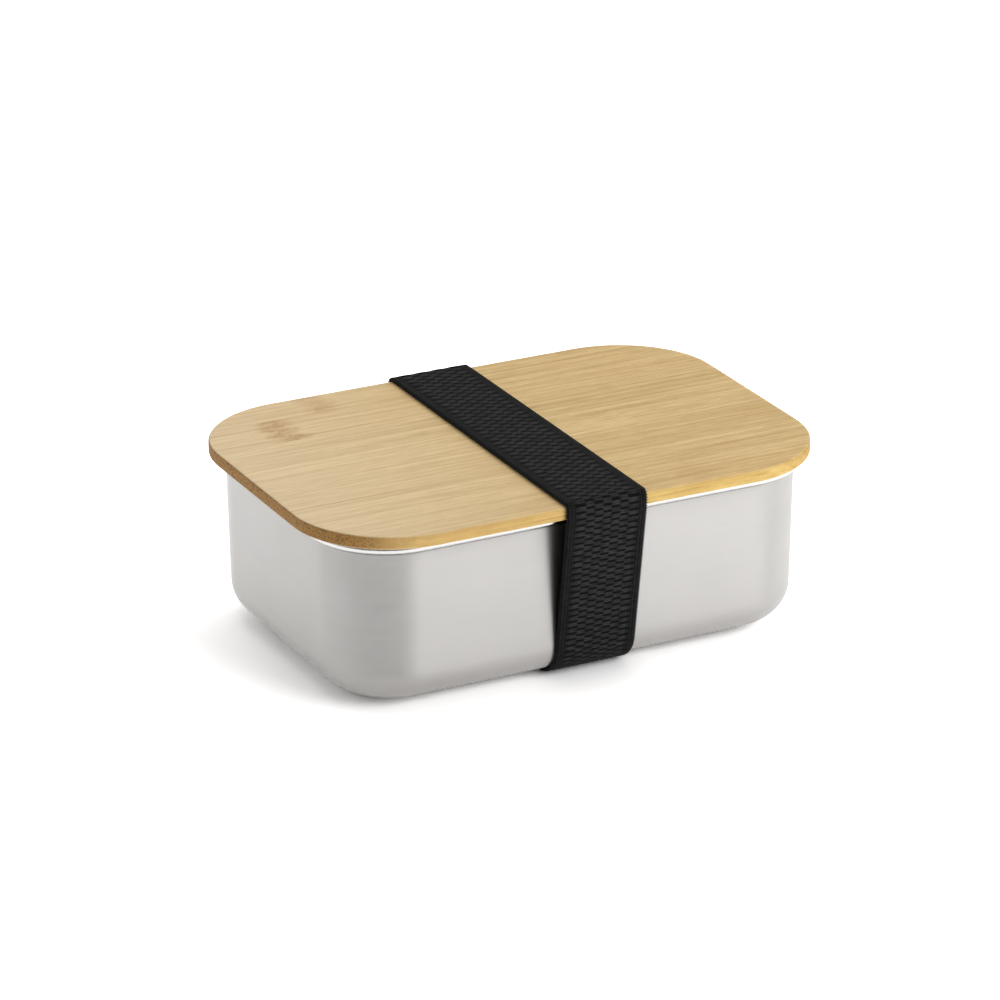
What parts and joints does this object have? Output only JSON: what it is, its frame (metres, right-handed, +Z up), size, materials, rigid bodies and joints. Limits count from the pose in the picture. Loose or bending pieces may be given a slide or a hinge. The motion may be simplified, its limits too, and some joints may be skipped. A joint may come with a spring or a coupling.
{
  "type": "bento lunch box",
  "caption": "Rectangular steel food tray with rounded corners, a lift-off bamboo lid with a silicone seal, and a wide elastic band that holds the lid on.",
  "frame": {"origin": "on the surface that the box stands on, under the middle of the lid", "axes": "+X along the box, +Y from the front to the side with the strap's seam, +Z up"},
  "size_m": [0.19, 0.1354, 0.0673],
  "materials": {
    "steel": "satin",
    "bamboo": "smooth, oiled",
    "silicone": "matte",
    "webbing": "rib-woven elastic, matte",
    "thread": "polyester thread"
  },
  "bodies": {
    "tray": {"tray": "steel"},
    "lid": {"lid_top_strip_1": "bamboo", "lid_top_strip_2": "bamboo", "lid_top_strip_3": "bamboo", "lid_top_strip_4": "bamboo", "lid_top_strip_5": "bamboo", "lid_top_strip_6": "bamboo", "lid_top_strip_7": "bamboo", "lid_plug_strip_1": "bamboo", "lid_plug_strip_2": "bamboo", "lid_plug_strip_3": "bamboo", "lid_plug_strip_4": "bamboo", "lid_plug_strip_5": "bamboo", "lid_plug_strip_6": "bamboo", "lid_gasket": "silicone"},
    "strap": {"strap_front_run": "webbing", "strap_bottom_run": "webbing", "strap_back_run": "webbing", "strap_seam_lap": "webbing", "seam_stitching": "thread"},
    "strap_top": {"strap_top_run": "webbing"}
  },
  "joints": [
    {"name": "lid_lift", "type": "slide", "parent": "tray", "child": "lid", "axis": [0, 0, 1], "range_m": [0, 0.04]},
    {"name": "strap_slide", "type": "slide", "parent": "tray", "child": "strap", "axis": [1, 0, 0], "range_m": [-0.12, 0.12]},
    {"name": "strap_stretch", "type": "slide", "parent": "strap", "child": "strap_top", "axis": [0, 0, 1], "range_m": [0, 0.04], "stiffness_N_per_m": 60, "springref_m": -0.02, "deforming": ["strap_front_run", "strap_back_run"]}
  ],
  "couplings": [
    {"joint": "strap_stretch", "follows": "lid_lift", "ratio": 1}
  ]
}
